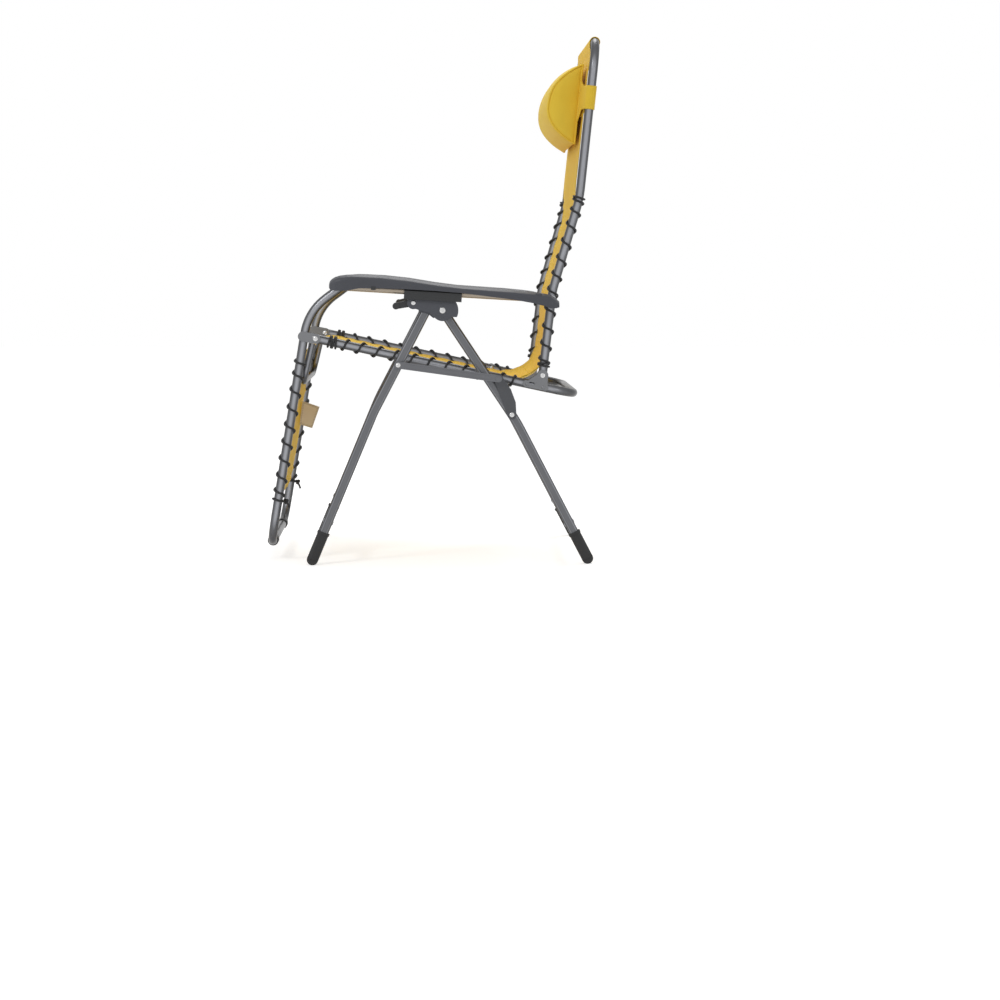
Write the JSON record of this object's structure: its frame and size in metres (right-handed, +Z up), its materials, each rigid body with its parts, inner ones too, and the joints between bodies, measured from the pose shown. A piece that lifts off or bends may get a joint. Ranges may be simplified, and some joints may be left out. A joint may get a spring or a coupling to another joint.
{
  "type": "zero gravity recliner",
  "caption": "Folding outdoor recliner with a steel frame, a laced fabric sling, sliding armrests, a footrest and a headrest pillow.",
  "frame": {"origin": "on the floor, under the middle of the outline of the upright chair", "axes": "+Z up, the sitter faces -X, +Y to the sitter's right-hand armrest"},
  "size_m": [0.7191, 0.6336, 1.1258],
  "materials": {
    "gunmetal_tube": "satin powder coat",
    "black_bracket": "satin",
    "rubber": "matt",
    "housing_plastic": "satin",
    "clamp_plastic": "matt",
    "rivet_steel": "bright",
    "hinge_plate": "satin",
    "sling_fabric": "open weave",
    "pillow_fabric": "woven",
    "elastic_cord": "braided",
    "tab_cloth": "plain weave",
    "arm_tube_paint": "satin",
    "armrest_plastic": "fine grain"
  },
  "bodies": {
    "front_legs": {"front_leg_left": "gunmetal_tube", "front_leg_right": "gunmetal_tube", "front_cross_tube": "gunmetal_tube", "front_foot_caps": "rubber", "lock_housing_left": "housing_plastic", "lock_housing_right": "housing_plastic", "link_rivets": "rivet_steel"},
    "rear_legs": {"rear_leg_left": "gunmetal_tube", "rear_leg_right": "gunmetal_tube", "rear_cross_tube": "gunmetal_tube", "rear_foot_caps": "rubber", "brace_rivets": "rivet_steel"},
    "braces": {"brace_bracket_left": "black_bracket", "brace_bracket_right": "black_bracket"},
    "seat_pins": {"seat_pivot_pins": "rivet_steel"},
    "seat": {"seat_frame": "gunmetal_tube", "seat_hinge_plates": "gunmetal_tube", "seat_sling": "sling_fabric", "seat_lacing": "elastic_cord"},
    "back_pins": {"back_hinge_pins": "rivet_steel"},
    "back": {"back_frame": "gunmetal_tube", "back_pivot_bosses": "gunmetal_tube", "back_sling": "sling_fabric", "back_lacing": "elastic_cord"},
    "headrest": {"headrest_pillow": "pillow_fabric", "headrest_straps": "pillow_fabric"},
    "footrest_pins": {"footrest_hinge_pins": "rivet_steel"},
    "footrest": {"footrest_frame": "gunmetal_tube", "footrest_hinge_plates": "hinge_plate", "footrest_crossbars": "gunmetal_tube", "footrest_bar_caps": "rubber", "footrest_pivot_bosses": "gunmetal_tube", "footrest_sling": "sling_fabric", "footrest_lacing": "elastic_cord", "label_tab": "tab_cloth"},
    "links": {"spreader_link_left": "gunmetal_tube", "spreader_link_right": "gunmetal_tube"},
    "clamp_pins": {"clamp_pivot_pins": "rivet_steel"},
    "clamps": {"arm_clamp_left": "clamp_plastic", "arm_clamp_right": "clamp_plastic", "clamp_bolts": "rivet_steel"},
    "arms": {"arm_tube_left": "arm_tube_paint", "arm_tube_right": "arm_tube_paint", "armrest_left": "armrest_plastic", "armrest_right": "armrest_plastic", "arm_pivot_bolts": "rivet_steel", "arm_tube_clips": "clamp_plastic"},
    "lever_left": {"lock_lever_left": "clamp_plastic"},
    "lever_right": {"lock_lever_right": "clamp_plastic"}
  },
  "joints": [
    {"name": "leg_fold", "type": "hinge", "parent": "front_legs", "child": "rear_legs", "pos_m": [0.0225, 0, 0.5425], "axis": [0, -1, 0], "range_deg": [-46, 0], "deforming": ["label_tab"]},
    {"name": "brace_fold", "type": "hinge", "parent": "rear_legs", "child": "braces", "pos_m": [0.1705, 0, 0.3205], "axis": [0, -1, 0], "range_deg": [-95.16, 2]},
    {"name": "seat_fold", "type": "hinge", "parent": "braces", "child": "seat_pins", "pos_m": [0.1415, 0, 0.398], "axis": [0, 1, 0], "range_deg": [-67.12, 2]},
    {"name": "seat_recline", "type": "hinge", "parent": "seat_pins", "child": "seat", "pos_m": [0.1415, 0, 0.398], "axis": [0, 1, 0], "range_deg": [-2, 26]},
    {"name": "back_fold", "type": "hinge", "parent": "seat", "child": "back_pins", "pos_m": [0.2375, 0, 0.403], "axis": [0, 1, 0], "range_deg": [-77, 2]},
    {"name": "back_recline", "type": "hinge", "parent": "back_pins", "child": "back", "pos_m": [0.2375, 0, 0.403], "axis": [0, 1, 0], "range_deg": [-2, 25.66]},
    {"name": "headrest_slide", "type": "slide", "parent": "back", "child": "headrest", "axis": [0.1028, 0, 0.9947], "range_m": [-0.11, 0.012]},
    {"name": "footrest_fold", "type": "hinge", "parent": "seat", "child": "footrest_pins", "pos_m": [-0.248, 0, 0.481], "axis": [0, 1, 0], "range_deg": [-87.85, 2]},
    {"name": "footrest_recline", "type": "hinge", "parent": "footrest_pins", "child": "footrest", "pos_m": [-0.248, 0, 0.481], "axis": [0, 1, 0], "range_deg": [-2, 51.13]},
    {"name": "link_fold", "type": "hinge", "parent": "front_legs", "child": "links", "pos_m": [-0.0715, 0, 0.427], "axis": [0, -1, 0], "range_deg": [-53.55, 2]},
    {"name": "arm_fold", "type": "hinge", "parent": "front_legs", "child": "clamp_pins", "pos_m": [0.0225, 0, 0.5425], "axis": [0, -1, 0], "range_deg": [-82.3, 2]},
    {"name": "arm_recline", "type": "hinge", "parent": "clamp_pins", "child": "clamps", "pos_m": [0.0225, 0, 0.5425], "axis": [0, 1, 0], "range_deg": [-2, 18.43]},
    {"name": "recline_slide", "type": "slide", "parent": "clamps", "child": "arms", "axis": [0.9984, 0, -0.0568], "range_m": [0, 0.1181]},
    {"name": "lock_lever_left_turn", "type": "hinge", "parent": "front_legs", "child": "lever_left", "pos_m": [-0.039, 0, 0.5585], "axis": [0, -1, 0], "range_deg": [-14, 12]},
    {"name": "lock_lever_right_turn", "type": "hinge", "parent": "front_legs", "child": "lever_right", "pos_m": [-0.039, 0, 0.5585], "axis": [0, -1, 0], "range_deg": [-14, 12]}
  ],
  "couplings": [
    {"joint": "brace_fold", "follows": "leg_fold", "ratio": 2.0252},
    {"joint": "seat_fold", "follows": "leg_fold", "ratio": 1.4157},
    {"joint": "seat_recline", "follows": "recline_slide", "rad_per_m": 3.5468},
    {"joint": "back_fold", "follows": "leg_fold", "ratio": 1.6304},
    {"joint": "back_recline", "follows": "recline_slide", "rad_per_m": 3.4966},
    {"joint": "footrest_fold", "follows": "leg_fold", "ratio": 1.8663},
    {"joint": "footrest_recline", "follows": "recline_slide", "rad_per_m": 7.2606},
    {"joint": "link_fold", "follows": "leg_fold", "ratio": 1.1207},
    {"joint": "arm_fold", "follows": "leg_fold", "ratio": 1.7457},
    {"joint": "arm_recline", "follows": "recline_slide", "rad_per_m": 2.4281}
  ]
}
